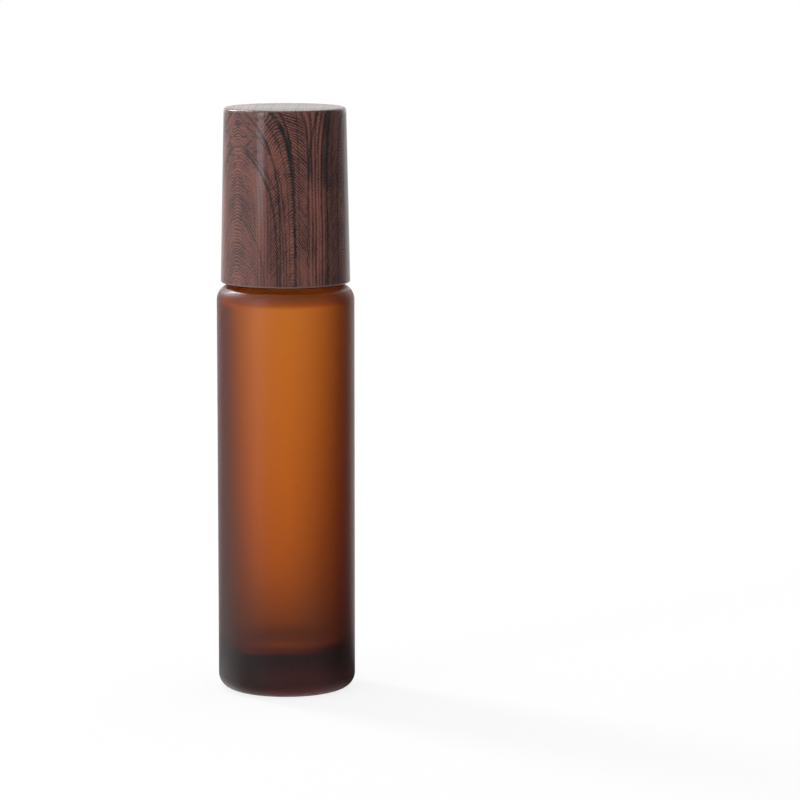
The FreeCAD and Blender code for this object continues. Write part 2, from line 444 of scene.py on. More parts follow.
@dataclass(frozen=True)
class Sway:
    """Slow noise through the cap that moves the print sideways.

    It has a number of waves per millimetre, the share of them that lies upwards, and a reach in millimetres.
    """

    rate: float
    upward: float
    reach: float

    def offset(self, place: Wire) -> Wire:
        """How far the print moves at a place, to either side."""
        stretched = place.shader.scaled(place, (1.0, 1.0, self.upward))
        return (place.shader.noise(stretched, self.rate, FEW_OCTAVES) - 0.5) * self.reach


@dataclass(frozen=True)
class Band:
    """A stretch of a length with soft ends, in millimetres."""

    start: float
    full: float
    fade: float
    end: float

    def share(self, length: Wire) -> Wire:
        """Full inside the stretch and nothing outside it."""
        return length.rise(self.start, self.full) - length.rise(self.fade, self.end)


@dataclass(frozen=True)
class WoodPrint:
    """Dark rosewood print under a satin lacquer: fine chevron lines crossed by near-black streaks.

    Lengths are in millimetres. They are measured round the cap from the axis of the arched figure, to both
    sides, so that the print has no seam. Spans are the two ends of an eased step.
    """

    arch_turn: float = math.radians(-47)
    sway: Sway = Sway(rate=0.14, upward=0.5, reach=0.7)
    drift: Sway = Sway(rate=0.22, upward=0.4, reach=7.0)
    decay: float = 4.2
    lean_in: float = 3.8
    lean_out: float = 1.7
    lean_turn: float = 5.0
    lean_end: float = 17.0
    fold: float = 4.6
    arch_round: float = 1.9
    crest_round: float = 0.7
    round_span: Span = (3.0, 6.0)
    slope: float = 1.65
    slope_fall: float = 0.03
    pitch: float = 0.46
    woven_share: float = 0.3
    line_span: Span = (0.12, 0.88)
    stripe_rate: float = 1.9
    stripe_jitter: float = 0.3
    stripe_share: float = 0.6
    stripe_span: Span = (0.2, 0.8)
    straight_share: float = 0.8
    straight: Band = Band(11.0, 12.0, 14.0, 14.8)
    back_span: Span = (18.0, 19.5)
    faint: Band = Band(2.6, 4.2, 5.0, 6.6)
    faint_loss: float = 0.5
    faint_shade: float = 0.12
    # Painted shade: the print's tone darkens beyond this length round the cap from the arches' axis, standing
    # in for the shade on the cap's right flank.
    painted_shade_span: Span = (13.6, 14.8)
    painted_shade_gain: float = 0.3
    patch_shade: float = 0.2
    patch_contrast: float = 0.4
    least_contrast: float = 0.46
    bead_base: float = 0.65
    base_shade: float = 0.07
    axis_span: Span = (0.4, 1.9)
    axis_round: float = 1.0
    axis_shift: float = 0.2
    thin_span: Span = (6.0, 20.0)
    thin_low: float = 1.7
    smudge_height: Span = (15.0, 19.0)
    smudge_reach: Span = (5.5, 3.5)
    streak_soft: float = 1.25
    streak_hard: float = 0.3
    broken_share: float = 0.4
    top_span: Span = (0.22, 0.1)
    edge_span: Span = (0.9, 0.5)
    rim_span: Span = (0.3, 0.12)
    roughness: float = 0.45
    streak_roughness: float = 0.1
    specular: float = 0.25
    coat: float = 0.5
    coat_on_top: float = -0.3
    coat_on_edge: float = 0.5
    coat_roughness: float = 0.15
    relief: float = 0.012
    relief_share: float = 0.5
    light: Colour = (0.268, 0.094, 0.066)
    middle: Colour = (0.128, 0.046, 0.036)
    dark: Colour = (0.030, 0.015, 0.016)
    black: Colour = (0.010, 0.009, 0.010)
    plain: Colour = (0.20, 0.12, 0.10)
    wander: Grain = Grain(0.3, 0.2, seed=1.0, octaves=1.0, shift=2.0, strength=1.4)
    jitter: Grain = Grain(2.2, 1.6, seed=2.0, octaves=2.0, strength=0.5)
    woven: Grain = Grain(2.1, 0.4, seed=4.0, octaves=1.0, span=(0.32, 0.68))
    fibres: Grain = Grain(1.6, 0.04, seed=6.0, octaves=2.0, span=(0.36, 0.64))
    patch: Grain = Grain(0.4, 0.14, seed=8.0, octaves=2.0, shift=2.0, span=(0.3, 0.7))
    grit: Grain = Grain(6.0, 4.5, seed=9.0, octaves=1.0, strength=1.15)
    bead: Grain = Grain(3.4, 3.4, seed=12.0, octaves=1.0)
    ragged: Grain = Grain(2.2, 1.1, seed=3.0, octaves=3.0, shift=2.0, strength=0.6)
    broken: Grain = Grain(0.9, 0.3, seed=7.0, octaves=2.0, shift=3.0, span=(0.28, 0.6))
    smudge: Grain = Grain(0.8, 1.5, seed=13.0, octaves=3.0, shift=6.0, span=(0.54, 0.64), strength=0.8)
    streaks: tuple[Streak, ...] = (
        Streak(4.6, 7.8, 0.13, 0.55),
        Streak(5.4, 10.8, 0.17, 0.65),
        Streak(6.8, 20.7, 0.26, 0.85),
        Streak(7.2, 26.1, 0.24, 0.9),
        Streak(7.8, 21.0, 0.2, 0.7),
        Streak(8.1, 24.3, 0.16, 0.7),
        Streak(8.6, 27.6, 0.16, 0.6),
        Streak(9.4, 29.4, 0.42, 1.0),
        Streak(9.45, 31.2, 0.2, 0.95),
        Streak(10.0, 38.0, 0.16, 0.55),
        Streak(11.3, 32.9, 0.26, 0.75, True),
        Streak(12.5, 33.5, 0.15, 0.5, True),
        Streak(13.5, 34.0, 0.18, 0.6, True),
        Streak(14.6, 36.1, 0.28, 0.9, True),
        Streak(15.6, 36.0, 0.16, 0.6, True),
        Streak(16.9, 33.8, 0.3, 0.85, True),
        Streak(18.8, 34.5, 0.22, 0.7, True),
        Streak(20.6, 35.0, 0.35, 0.9, True),
        Streak(22.9, 35.0, 0.18, 0.7, True),
        Streak(24.4, 36.0, 0.28, 0.8, True),
        Streak(26.6, 36.0, 0.2, 0.7, True),
    )

    def material(self, radius: float, bottom: float, top: float) -> bpy.types.Material:
        """Make the print.

        Args:
            radius: Radius in millimetres at which lengths round the cap are measured.
            bottom: Height in millimetres of the cap's rim.
            top: Height of its crown.

        Returns:
            The material.
        """
        shader = Shader.material("wood_grain_print")
        place = shader.scaled(shader.place(), (1 / MM,) * 3)
        x, y, z = shader.axes(place)
        on_top = z.rise(*(top - below for below in self.top_span))
        edge = z.rise(*(top - below for below in self.edge_span))
        far = self.far_side(place, radius)
        across = shader.pick(on_top, self.across(place, radius, far), x + 2 * radius)
        along = shader.pick(on_top, z - bottom, y + radius)
        tone = self.lines(across, along, far, top - bottom)
        stops = [(0.0, self.light), (0.5, self.middle), (1.0, self.dark)]
        colour = shader.node("ShaderNodeValToRGB", {"stops": stops}, {0: tone})
        streak = self.streak_mask(across, along, far)
        colour = shader.mix(streak, colour, self.black)
        colour = shader.mix((z - bottom).rise(*self.rim_span), colour, self.plain)
        shader.principled({
            "Base Color": colour,
            "Roughness": self.roughness + streak * self.streak_roughness,
            "Specular IOR Level": self.specular,
            "Coat Weight": on_top * self.coat_on_top + edge * self.coat_on_edge + self.coat,
            "Coat Roughness": self.coat_roughness,
            "Normal": shader.bump(1 - tone * self.relief_share - streak * self.relief_share, self.relief),
        })
        return shader.owner

    def aside(self, place: Wire) -> Wire:
        """How far a place lies to the right of the arches' axis."""
        x, y, _ = place.shader.axes(place)
        return x * math.cos(self.arch_turn) + y * math.sin(self.arch_turn)

    def far_side(self, place: Wire, radius: float) -> Wire:
        """How far a place lies to the left of the arches' axis, as a share of the radius, and else 0."""
        return self.aside(place).math("MINIMUM", 0.0) / -radius

    def across(self, place: Wire, radius: float, far: Wire) -> Wire:
        """Length round the cap from the arches' axis, with a slow sway and a drift that sets the sides apart.

        Args:
            place: The place in millimetres.
            radius: Radius at which the length is measured.
            far: Place on the far side.

        Returns:
            The length.
        """
        x, y, _ = place.shader.axes(place)
        ahead = x * math.sin(self.arch_turn) - y * math.cos(self.arch_turn)
        length = self.aside(place).math("ARCTAN2", ahead) * radius
        return abs(length + self.sway.offset(place)) + self.drift.offset(place) * far

    def lines(self, across: Wire, along: Wire, far: Wire, height: float) -> Wire:
        """Fine lines: chevrons with a rounded crest at the arches' axis, and straight stripes beside them.

        Args:
            across: Length round the cap.
            along: Height above the rim.
            far: Place on the far side.
            height: The cap's height.

        Returns:
            The tone, from 0 for the light wood to 1 for the dark, with a painted shade that darkens it far
            round the cap from the arches' axis.
        """
        fan = ((along - height) / self.decay).math("EXPONENT")
        bend = across.rise(0.0, self.lean_turn) * self.lean_in
        bend = bend - across.rise(self.lean_turn, self.lean_end) * (self.lean_in + self.lean_out)
        flow = across + fan * bend
        jitter = self.jitter.swing(flow, along, far)
        crest = flow.math("PINGPONG", self.fold)
        rounding = flow.shader.pick(flow.rise(*self.round_span), self.arch_round, self.crest_round)
        steep = along * -self.slope_fall + self.slope
        level = along + (crest * crest + rounding * rounding).math("SQRT") * steep
        level = level + self.wander.swing(flow, along, far) + jitter
        woven = self.woven.stepped(level, flow, far)
        fine = flow.shader.pick(self.woven_share, (level / self.pitch).wave(), woven)
        fine = fine.rise(*self.line_span)
        stripes = ((flow + jitter * self.stripe_jitter) * self.stripe_rate).wave() * self.stripe_share
        stripes = stripes + self.fibres.stepped(flow, along, far) * (1 - self.stripe_share)
        faint = self.faint.share(flow)
        straight = self.straight.share(flow) + flow.rise(*self.back_span) + faint
        stripes = stripes.rise(*self.stripe_span)
        fine = flow.shader.pick(straight * self.straight_share, fine, stripes)
        patch = self.patch.stepped(flow, along, far)
        # Painted shade darkens the tone on the flank far round from the arches' axis; the patch noise adds
        # random tone on top.
        shade = across.rise(*self.painted_shade_span) * self.painted_shade_gain + (patch - 0.5) * self.patch_shade
        contrast = (patch * self.patch_contrast + self.least_contrast) * (1 - faint * self.faint_loss)
        tone = fine * contrast * (self.bead.read(flow, along, far) + self.bead_base)
        tone = tone + self.grit.swing(flow, along, far) + shade
        return tone + faint * self.faint_shade + self.base_shade

    def streak_mask(self, across: Wire, along: Wire, far: Wire) -> Wire:
        """Where the streaks lie.

        Args:
            across: Length round the cap.
            along: Height above the rim.
            far: Place on the far side.

        Returns:
            The streaks' strength, from 0 to 1.
        """
        off_axis = across.rise(*self.axis_span)
        across = (across * across + self.axis_round).math("SQRT") - self.axis_shift
        ragged = self.ragged.swing(across, along, far)
        thin = along.shader.pick(along.rise(*self.thin_span), self.thin_low, 1.0)
        fan = (along / self.decay).math("EXPONENT")
        mask = self.smudge.stepped(across, along, far) * along.rise(*self.smudge_height)
        mask = mask * across.rise(*self.smudge_reach) * self.smudge.strength
        for streak in self.streaks:
            bend = fan * streak.pull(self.decay)
            slope = bend / self.decay
            gap = abs(across + ragged - streak.reach + bend) * thin / (slope * slope + 1).math("SQRT")
            line = gap.rise(streak.width * self.streak_soft, streak.width * self.streak_hard)
            mask = mask.math("MAXIMUM", line * (off_axis * streak.strength))
        broken = self.broken.stepped(across, along, far)
        return mask * (broken * self.broken_share + (1 - self.broken_share))


@dataclass(frozen=True)
class PolishedSteel:
    """Bearing-bright steel with faint polishing marks."""

    colour: Colour = (0.70, 0.70, 0.71)
    roughness: float = 0.06
    marks_per_m: float = 2600.0
    mark_stretch: float = 6.0
    mark_depth: float = 0.05

    def material(self) -> bpy.types.Material:
        """Make the steel.

        Returns:
            The material.
        """
        shader = Shader.material("polished_steel")
        stretched = shader.scaled(shader.place(), (1.0, self.mark_stretch, 1.0))
        marks = shader.noise(stretched, self.marks_per_m, MORE_OCTAVES)
        shader.principled({
            "Base Color": self.colour,
            "Metallic": 1.0,
            "Roughness": self.roughness + marks * self.mark_depth,
        })
        return shader.owner


@dataclass(frozen=True)
class MouldedPlastic:
    """Satin moulded plastic with a faint flow and a fine skin."""

    name: str
    colour: Colour
    shade: Colour
    roughness: float = 0.42
    glow: float = 0.0
    glow_reach_mm: float = 1.2
    flow_per_m: float = 180.0
    flow_span: Span = (0.3, 0.7)
    flow_depth: float = 0.1
    skin_per_m: float = 4200.0
    skin_depth_mm: float = 0.004

    def material(self) -> bpy.types.Material:
        """Make the plastic.

        Returns:
            The material.
        """
        shader = Shader.material(self.name)
        place = shader.place()
        flow = shader.noise(place, self.flow_per_m, MORE_OCTAVES)
        skin = shader.noise(place, self.skin_per_m, FEW_OCTAVES)
        shader.principled({
            "Base Color": shader.mix(flow.rise(*self.flow_span), self.shade, self.colour),
            "Roughness": self.roughness + (flow - 0.5) * self.flow_depth,
            "Subsurface Weight": self.glow,
            "Subsurface Scale": self.glow_reach_mm * MM,
            "Normal": shader.bump(skin, self.skin_depth_mm),
        })
        return shader.owner


@dataclass(frozen=True)
class SealFoam:
    """White closed-cell foam."""

    colour: Colour = (0.84, 0.84, 0.81)
    shade: Colour = (0.70, 0.70, 0.67)
    roughness: float = 0.85
    cells_per_m: float = 3600.0
    cell_depth_mm: float = 0.05

    def material(self) -> bpy.types.Material:
        """Make the foam.

        Returns:
            The material.
        """
        shader = Shader.material("seal_foam")
        inputs = {"Vector": shader.place(), "Scale": self.cells_per_m}
        cells = shader.node("ShaderNodeTexVoronoi", {}, inputs, "Distance")
        shader.principled({
            "Base Color": shader.mix(cells, self.colour, self.shade),
            "Roughness": self.roughness,
            "Normal": shader.bump(1 - cells, self.cell_depth_mm),
        })
        return shader.owner


@dataclass(frozen=True)
class Corner:
    """A corner of an outline: its radius and height, and how far it is rounded, all in millimetres."""

    radius: float
    height: float
    ease: float = 0.0


class Turned:
    """A mesh made by turning an outline about the bottle's axis."""

    def __init__(self, corners: Sequence[Corner], ring: bool = False, steps: int = 144) -> None:
        """Draw the outline as a wire.

        Args:
            corners: The outline's corners in order.
            ring: Whether the last corner joins the first, as where the outline stays off the axis.
            steps: Number of facets round the piece.
        """
        self.bm = bmesh.new()
        self.steps = steps
        spots = [self.bm.verts.new((corner.radius, 0.0, corner.height)) for corner in corners]
        following = spots[1:] + (spots[:1] if ring else [])
        for here, there in zip(spots, following):
            self.bm.edges.new((here, there))
        for spot, corner in zip(spots, corners):
            if corner.ease:
                self.round_corner(spot, corner.ease)

    def round_corner(self, spot: bmesh.types.BMVert, ease: float) -> None:
        """Round one corner of the wire.

        Args:
            spot: The corner.
            ease: The radius that it is rounded to.
        """
        first, second = [edge.other_vert(spot).co - spot.co for edge in spot.link_edges]
        offset = ease / math.tan(first.angle(second) / 2)
        bmesh.ops.bevel(
            self.bm,
            geom=[spot],
            offset=offset,
            offset_type="OFFSET",
            affect="VERTICES",
            segments=max(LEAST_SEGMENTS, round(ease * SEGMENTS_PER_MM)),
            profile=0.5,
            material=-1,
        )

    def divide(self, radius: float, cuts: int) -> None:
        """Divide the longest upright run of the wire at a radius into rings.

        Args:
            radius: The run's radius.
            cuts: Number of rings.
        """
        runs = [
            edge
            for edge in self.bm.edges
            if all(abs(vert.co.x - radius) < MERGE_MM for vert in edge.verts)
        ]
        longest = max(runs, key=lambda edge: edge.calc_length())
        bmesh.ops.subdivide_edges(self.bm, edges=[longest], cuts=cuts)

    def turn(self) -> bmesh.types.BMesh:
        """Spin the wire into a closed skin with its faces outwards.

        Returns:
            The mesh, still in millimetres.
        """
        bmesh.ops.spin(
            self.bm,
            geom=self.bm.verts[:] + self.bm.edges[:],
            cent=(0, 0, 0),
            axis=(0, 0, 1),
            dvec=(0, 0, 0),
            angle=FULL_TURN,
            steps=self.steps,
            use_merge=True,
            use_duplicate=False,
        )
        bmesh.ops.remove_doubles(self.bm, verts=self.bm.verts, dist=MERGE_MM)
        bmesh.ops.dissolve_degenerate(self.bm, dist=MERGE_MM, edges=self.bm.edges)
        bmesh.ops.recalc_face_normals(self.bm, faces=self.bm.faces)
        return self.bm


def finished(bm: bmesh.types.BMesh, name: str, material: bpy.types.Material) -> bpy.types.Object:
    """Make an object of a mesh drawn in millimetres.

    Args:
        bm: The mesh, which is freed.
        name: The piece's name.
        material: Its finish.

    Returns:
        The object, at the origin, with its place in its mesh.
    """
    bmesh.ops.scale(bm, vec=(MM,) * 3, verts=bm.verts)
    for face in bm.faces:
        face.smooth = True
    mesh = bpy.data.meshes.new(name)
    bm.to_mesh(mesh)
    bm.free()
    mesh.set_sharp_from_angle(angle=SMOOTH_ANGLE)
    mesh.materials.append(material)
    piece = bpy.data.objects.new(name, mesh)
    bpy.context.scene.collection.objects.link(piece)
    return piece


def install(piece: bpy.types.Object, body: str, node: str) -> None:
    """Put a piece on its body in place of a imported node.

    Args:
        piece: The piece.
        body: The body that it moves with.
        node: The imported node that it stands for.
    """
    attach(piece, body)
    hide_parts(node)
    log.info("%s: %d faces on %s", piece.name, len(piece.data.polygons), body)


@dataclass(frozen=True)
class Thread:
    """The screw thread that joins neck and cap, right-handed, in millimetres."""

    lead: float = 3.0
    turns: float = 1.5
    start: float = 65.0
    depth: float = 0.8
    crest: float = 0.5
    flank: float = 0.45
    run_out: float = 0.6

    def lift(self, angle: float, height: float) -> float:
        """How far the thread stands out of the neck at a place.

        Args:
            angle: Angle round the neck.
            height: Height above the base.

        Returns:
            The rise above the neck's wall.
        """
        best = 0.0
        whole = FULL_TURN * self.turns
        for lap in range(math.ceil(self.turns) + 1):
            along = angle % FULL_TURN + lap * FULL_TURN
            if along > whole:
                break
            away = abs(height - self.start - self.lead * along / FULL_TURN)
            shape = smooth_step((self.crest / 2 + self.flank - away) / self.flank)
            fade = smooth_step(min(along, whole - along) / self.run_out)
            best = max(best, self.depth * shape * fade)
        return best


@dataclass(frozen=True)
class GlassBottle:
    """The blown bottle: thick floor, rounded heel and shoulder, threaded neck. Sizes in millimetres."""

    shoulder: float = 60.1
    heel_ease: float = 2.2
    shoulder_ease: float = 2.3
    push_up_radius: float = 5.6
    push_up_depth: float = 0.8
    push_up_ease: float = 0.8
    wall: float = 1.5
    draft: float = 0.5
    floor: float = 6.0
    floor_ease: float = 2.0
    shoulder_wall: float = 1.1
    inner_ease: float = 2.1
    throat_ease: float = 0.8
    neck_radius: float = 6.5
    neck_bore: float = 4.9
    neck_ease: float = 0.8
    lip_ease: float = 0.4
    dome_rings: int = 8
    neck_rings: int = 96
    thread: Thread = Thread()

    def dome(self) -> list[Corner]:
        """Draw the push-up under the base as an arc.

        Returns:
            Its corners, from the axis to its rim.
        """
        depth, half = self.push_up_depth, self.push_up_radius
        sphere = (half**2 + depth**2) / (2 * depth)
        sweep = math.asin(half / sphere)
        angles = [sweep * ring / self.dome_rings for ring in range(self.dome_rings)]
        arc = [Corner(sphere * math.sin(angle), depth - sphere * (1 - math.cos(angle))) for angle in angles]
        return arc + [Corner(half, 0.0, self.push_up_ease)]

    def outline(self) -> list[Corner]:
        """Draw the glass in section.

        Returns:
            Its corners, from the push-up round the outside, over the lip and down the inside.
        """
        body, lip = radius_of("glass_bottle"), top_of("glass_bottle")
        ceiling = self.shoulder - self.shoulder_wall
        return self.dome() + [
            Corner(body, 0.0, self.heel_ease),
            Corner(body, self.shoulder, self.shoulder_ease),
            Corner(self.neck_radius, self.shoulder, self.neck_ease),
            Corner(self.neck_radius, lip, self.lip_ease),
            Corner(self.neck_bore, lip, self.lip_ease),
            Corner(self.neck_bore, ceiling, self.throat_ease),
            Corner(body - self.wall, ceiling, self.inner_ease),
            Corner(body - self.wall - self.draft, self.floor, self.floor_ease),
            Corner(0.0, self.floor),
        ]

    def raise_thread(self, bm: bmesh.types.BMesh) -> None:
        """Push the neck's wall out along the thread.

        Args:
            bm: The bottle's mesh.
        """
        for vert in bm.verts:
            radius = vert.co.xy.length
            if abs(radius - self.neck_radius) > MERGE_MM:
                continue
            lift = self.thread.lift(math.atan2(vert.co.y, vert.co.x), vert.co.z)
            vert.co.xy *= (radius + lift) / radius

    def build(self) -> None:
        """Blow the bottle and put it on its body."""
        turned = Turned(self.outline())
        turned.divide(self.neck_radius, self.neck_rings)
        bm = turned.turn()
        self.raise_thread(bm)
        split = radius_of("glass_bottle") - self.wall / 2
        ceiling = self.shoulder - self.shoulder_wall
        glass = FrostedGlass().material(split, self.neck_radius, ceiling, self.floor)
        piece = finished(bm, "amber_bottle", glass)
        install(piece, "bottle", "glass_bottle")


@dataclass(frozen=True)
class BallFitment:
    """The steel ball and the housing that holds it."""

    ball_rings: int = 64

    def build(self) -> None:
        """Turn the ball and give the housing its plastic."""
        radius = radius_of("roller_ball")
        centre = (top_of("roller_ball") + bottom_of("roller_ball")) / 2
        angles = [math.pi * ring / self.ball_rings for ring in range(self.ball_rings + 1)]
        arc = [Corner(radius * math.sin(angle), centre + radius * math.cos(angle)) for angle in angles]
        ball = finished(Turned(arc).turn(), "steel_ball", PolishedSteel().material())
        install(ball, "ball", "roller_ball")
        plastic = MouldedPlastic(
            "natural_plastic",
            colour=(0.80, 0.81, 0.80),
            shade=(0.72, 0.74, 0.73),
            roughness=0.38,
            glow=0.35,
        )
        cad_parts["ball_housing"].data.materials[0] = plastic.material()
        log.info("ball_housing keeps its packed shape")


@dataclass(frozen=True)
class ScrewCap:
    """The cap: a printed shell, the threaded liner in it and the seal over the ball. Sizes in millimetres."""

    rim_wall: float = 1.0
    crown_radius: float = 8.951
    ceiling_radius: float = 7.99
    crown_ease: float = 0.45
    rim_ease: float = 0.2
    inner_rim_ease: float = 0.15
    liner_rim: float = 8.44
    liner_crown: float = 7.94
    thread_bore: float = 7.45
    pilot_bore: float = 6.8
    pilot_step: float = 72.0
    seat_radius: float = 5.65
    seat_depth: float = 0.9
    liner_ease: float = 0.15
    thread_turns: float = 1.3
    thread_minor: float = 6.65
    thread_width: float = 1.2
    thread_sink: float = 0.15
    seal_ease: float = 0.2
    dent_radius: float = 2.0
    dent_ease: float = 1.0
    dent_depth: float = 0.1
    shell_steps: int = 160
    thread_steps_per_turn: int = 96
    thread: Thread = Thread()

    def build_shell(self) -> None:
        """Turn the printed shell."""
        rim, bottom, top = radius_of("cap_shell"), bottom_of("cap_shell"), top_of("cap_shell")
        ceiling = top_of("cap_insert")
        outline = [
            Corner(0.0, ceiling),
            Corner(self.ceiling_radius, ceiling),
            Corner(rim - self.rim_wall, bottom, self.inner_rim_ease),
            Corner(rim, bottom, self.rim_ease),
            Corner(self.crown_radius, top, self.crown_ease),
            Corner(0.0, top),
        ]
        print_finish = WoodPrint().material(rim, bottom, top)
        shell = finished(Turned(outline, steps=self.shell_steps).turn(), "wood_grain_shell", print_finish)
        install(shell, "cap", "cap_shell")

    def build_liner(self) -> None:
        """Turn the liner and wind its thread inside it."""
        bottom, top = bottom_of("cap_insert"), top_of("cap_insert")
        roof = top_of("cap_seal")
        seat = roof - self.seat_depth
        outline = [
            Corner(0.0, roof),
            Corner(self.seat_radius, roof),
            Corner(self.seat_radius, seat, self.liner_ease),
            Corner(self.pilot_bore, seat),
            Corner(self.pilot_bore, self.pilot_step, self.liner_ease),
            Corner(self.thread_bore, self.pilot_step),
            Corner(self.thread_bore, bottom, self.liner_ease),
            Corner(self.liner_rim, bottom, self.liner_ease),
            Corner(self.liner_crown, top),
            Corner(0.0, top),
        ]
        bm = Turned(outline).turn()
        self.wind_thread(bm)
        plastic = MouldedPlastic(
            "white_plastic",
            colour=(0.84, 0.84, 0.82),
            shade=(0.78, 0.78, 0.76),
            roughness=0.4,
        )
        liner = finished(bm, "threaded_liner", plastic.material())
        install(liner, "cap", "cap_insert")

    def wind_thread(self, bm: bmesh.types.BMesh) -> None:
        """Wind a ridge up the liner's bore, between the turns of the neck's own thread.

        Args:
            bm: The liner's mesh.
        """
        steps = round(self.thread_steps_per_turn * self.thread_turns)
        half = self.thread_width / 2
        height = self.thread.start - self.thread.lead / 2
        root = self.thread_bore + self.thread_sink
        crest = self.thread_minor
        section = [(root, -half), (crest, -half / 2), (crest, half / 2), (root, half)]
        spots = [bm.verts.new((radius, 0.0, height + rise)) for radius, rise in section]
        face = bm.faces.new(spots)
        rise = self.thread.lead * self.thread_turns / steps
        wound = bmesh.ops.spin(
            bm,
            geom=[face, *face.verts, *face.edges],
            cent=(0, 0, 0),
            axis=(0, 0, 1),
            dvec=(0, 0, rise),
            angle=FULL_TURN * self.thread_turns,
            steps=steps,
            use_merge=False,
            use_duplicate=True,
        )
        log.info("thread of %d steps ends with %d parts", steps, len(wound["geom_last"]))
        bmesh.ops.recalc_face_normals(bm, faces=bm.faces)

    def build_seal(self) -> None:
        """Turn the seal, with the dent that the ball leaves."""
        radius, bottom, top = radius_of("cap_seal"), bottom_of("cap_seal"), top_of("cap_seal")
        outline = [
            Corner(0.0, bottom + self.dent_depth),
            Corner(self.dent_radius, bottom, self.dent_ease),
            Corner(radius, bottom, self.seal_ease),
            Corner(radius, top),
            Corner(0.0, top),
        ]
        seal = finished(Turned(outline).turn(), "ball_seal", SealFoam().material())
        install(seal, "seal", "cap_seal")

    def build(self) -> None:
        """Build the three pieces of the cap."""
        self.build_shell()
        self.build_liner()
        self.build_seal()


class Side(Enum):
    """Where a lamp stands round the bottle, as a direction towards it."""

    LEFT = Vector((-0.70, -0.71, 0.25))
    BACK_LEFT = Vector((-0.57, 0.52, 0.63))
    ABOVE = Vector((0.0, 0.1, 1.0))


@dataclass(frozen=True)
class Softbox:
    """A soft lamp: where it stands, how far off, its size in metres, its power and its colour."""

    side: Side
    distance: float
    width: float
    height: float
    power: float
    colour: Colour

    def hang(self, target: Vector) -> None:
        """Hang the lamp and aim it.

        Args:
            target: The point that it is aimed at.
        """
        lamp = bpy.data.lights.new(f"softbox_{self.side.name.lower()}", "AREA")
        lamp.shape = "RECTANGLE"
        lamp.size = self.width
        lamp.size_y = self.height
        lamp.energy = self.power
        lamp.color = self.colour
        holder = bpy.data.objects.new(lamp.name, lamp)
        holder.location = target + self.side.value.normalized() * self.distance
        holder.rotation_euler = (target - holder.location).to_track_quat("-Z", "Y").to_euler()
        holder.visible_camera = False
        holder.visible_transmission = False
        holder.visible_glossy = self.side is not Side.ABOVE
        bpy.context.scene.collection.objects.link(holder)


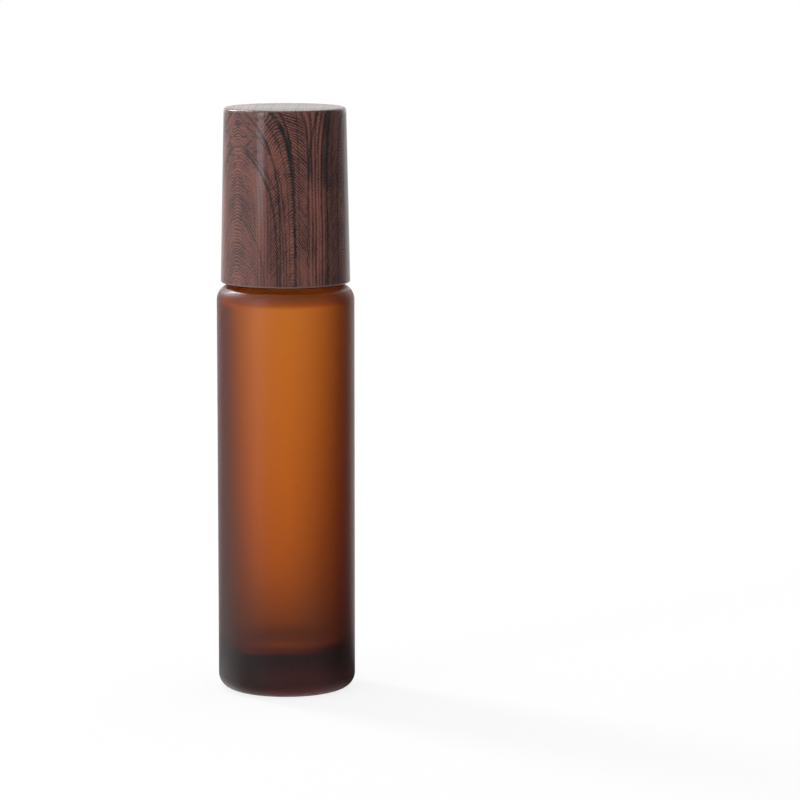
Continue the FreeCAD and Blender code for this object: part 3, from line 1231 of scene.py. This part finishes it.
@dataclass(frozen=True)
class Studio:
    """The white table, the soft lamps, the room and the camera. Lengths in metres.

    Spans are the two ends of an eased step, over a length or over a part of a direction.
    """

    table_size: float = 12.0
    table_colour: Colour = (0.86, 0.86, 0.86)
    shadow_share: float = 0.16
    shadow_reach: float = 0.5
    foot_span: Span = (0.14, 0.03)
    foot_gain: float = 0.55
    table_near: float = 0.012
    table_far: float = 0.108
    surround: float = 0.4
    gloss_surround: float = 0.11
    gloss_front: float = 0.17
    gloss_left: float = 0.95
    left_edge: float = 0.45
    left_full: float = 0.95
    left_turn_span: Span = (0.6, -0.1)
    left_kept: float = 0.6
    near_span: Span = (0.4, 0.1)
    near_foot_span: Span = (0.02, 0.12)
    near_gain: float = 0.4
    glass_surround: float = 0.17
    glass_front: float = 0.4
    glass_front_span: Span = (-0.1, -0.6)
    high_span: Span = (0.2, 0.6)
    high_loss: float = 0.6
    axis_gap: float = 0.001
    panel_edge: float = math.radians(24)
    panel_full: float = 0.48
    table_edge: float = math.radians(15)
    panel_turn: float = 0.09
    backdrop_edge: float = math.radians(60)
    backdrop_full: float = math.radians(20)
    camera_place: tuple[float, float, float] = (0.01678, -0.6056, 0.1270)
    camera_dip: float = math.radians(7.91)
    lens: float = 186.9
    clip_start: float = 0.01
    lamps: tuple[Softbox, ...] = (
        Softbox(Side.LEFT, distance=0.7, width=0.16, height=0.62, power=1.05, colour=(0.93, 0.91, 1.0)),
        Softbox(Side.BACK_LEFT, distance=0.8, width=0.16, height=0.5, power=4.0, colour=(0.97, 0.95, 1.0)),
        Softbox(Side.ABOVE, distance=0.9, width=0.7, height=0.7, power=4.0, colour=WHITE),
    )

    def sort_rays(self, shader: Shader, camera: Value, glass: Value, gloss: Value, rest: Value) -> Wire:
        """Pick a level by what a ray comes from.

        Args:
            shader: The tree to add to.
            camera: Level for the camera's own rays.
            glass: Level for rays that leave a glass.
            gloss: Level for rays that leave a gloss.
            rest: Level for all others.

        Returns:
            The level.
        """
        seen = shader.node("ShaderNodeLightPath", {}, {}, "Is Camera Ray")
        rays = seen.socket.node.outputs
        glossy, through = Wire(shader, rays["Is Glossy Ray"]), Wire(shader, rays["Is Transmission Ray"])
        level = shader.pick(glossy, rest, gloss)
        return shader.pick(seen, shader.pick(through, level, glass), camera)

    def gloss_level(self, x: Wire, y: Wire, length: Wire) -> Wire:
        """How bright the room looks in a gloss, by direction round the bottle.

        Args:
            x: Sideways part of the direction.
            y: Part of it away from the camera.
            length: Its length.

        Returns:
            The level: white behind, a broad pale side on the left, dim elsewhere.
        """
        behind = (y / length).rise(math.cos(self.backdrop_edge), math.cos(self.backdrop_full))
        left = (x / length).rise(-self.left_edge, -self.left_full)
        near = length.rise(*self.near_span) * length.rise(*self.near_foot_span) * self.near_gain + 1
        kept = (y / length).rise(*self.left_turn_span) * (1 - self.left_kept) + self.left_kept
        left = left * kept * near
        ahead = (y / length).rise(0.0, -1.0)
        level = left * self.gloss_left + ahead * self.gloss_front + self.gloss_surround
        return level.math("MAXIMUM", behind)

    def glass_level(self, x: Wire, y: Wire, length: Wire, edge: float) -> Wire:
        """How bright the room looks through the glass: a white panel on each of four sides, dim between.

        Args:
            x: Sideways part of the direction.
            y: Part of it away from the camera.
            length: Its length.
            edge: Angle from a panel's middle to its edge.

        Returns:
            The level.
        """
        square = abs(x).math("MAXIMUM", abs(y - x * self.panel_turn)) / length
        panel = square.rise(math.cos(edge), math.cos(edge * self.panel_full))
        dim = (y / length).rise(*self.glass_front_span) * self.glass_front + self.glass_surround
        return panel.math("MAXIMUM", dim)

    def lay_table(self) -> None:
        """Lay a white table that keeps the bottle's shadow and shades off near the bottle in the glass."""
        shader = Shader.material("white_table")
        x, y, _ = shader.axes(shader.place())
        length = (x * x + y * y).math("SQRT") + self.axis_gap
        glass = self.glass_level(x, y, length, self.table_edge)
        glass = length.rise(self.table_near, self.table_far) * glass
        foot = length.rise(*self.foot_span) * (y / length).rise(0.0, -1.0)
        gloss = self.gloss_level(x, y, length) + foot * self.foot_gain
        strength = self.sort_rays(shader, camera=1.0, glass=glass, gloss=gloss, rest=1.0)
        lit_share = length.rise(self.shadow_reach, 0.0) * self.shadow_share
        share = self.sort_rays(shader, camera=1 - lit_share, glass=1.0, gloss=1.0, rest=0.0)
        lit = shader.node("ShaderNodeBsdfDiffuse", {}, {"Color": self.table_colour})
        white = shader.node("ShaderNodeEmission", {}, {"Color": WHITE, "Strength": strength})
        surface = shader.node("ShaderNodeMixShader", {}, {0: share, 1: lit, 2: white})
        shader.feed(shader.output.inputs["Surface"], surface)
        bm = bmesh.new()
        bmesh.ops.create_grid(bm, x_segments=1, y_segments=1, size=self.table_size / 2 / MM)
        finished(bm, "table", shader.owner)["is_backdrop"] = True

    def light_surround(self) -> None:
        """Surround the bottle with a room that is white behind it and dimmer at the sides and in front."""
        world = bpy.data.worlds.new("white_room")
        shader = Shader(world)
        x, y, z = shader.axes(shader.node("ShaderNodeTexCoord", {}, {}, "Generated"))
        length = (x * x + y * y).math("SQRT") + self.axis_gap
        high = z.rise(*self.high_span) * -self.high_loss + 1
        glass = self.glass_level(x, y, length, self.panel_edge) * high
        gloss = self.gloss_level(x, y, length)
        strength = self.sort_rays(shader, camera=1.0, glass=glass, gloss=gloss, rest=self.surround)
        room = shader.node("ShaderNodeBackground", {}, {"Color": WHITE, "Strength": strength})
        shader.feed(shader.output.inputs["Surface"], room)
        bpy.context.scene.world = world

    def set_camera(self) -> None:
        """Stand the camera where the photograph was taken from."""
        data = bpy.data.cameras.new("camera")
        data.lens = self.lens
        data.clip_start = self.clip_start
        camera = bpy.data.objects.new("camera", data)
        camera.location = self.camera_place
        camera.rotation_euler = (math.pi / 2 - self.camera_dip, 0.0, 0.0)
        bpy.context.scene.collection.objects.link(camera)
        bpy.context.scene.camera = camera

    def build(self) -> None:
        """Set up the table, the lamps, the room and the camera."""
        self.lay_table()
        low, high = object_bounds()
        for lamp in self.lamps:
            lamp.hang((low + high) / 2)
        self.light_surround()
        self.set_camera()
        bpy.context.scene.view_settings.view_transform = "Standard"


def main() -> None:
    """Build the bottle, its fitment, its cap and the studio."""
    logging.basicConfig(level=logging.INFO, format="%(name)s: %(message)s")
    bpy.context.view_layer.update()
    GlassBottle().build()
    BallFitment().build()
    ScrewCap().build()
    Studio().build()


if __name__ == "__main__":
    main()
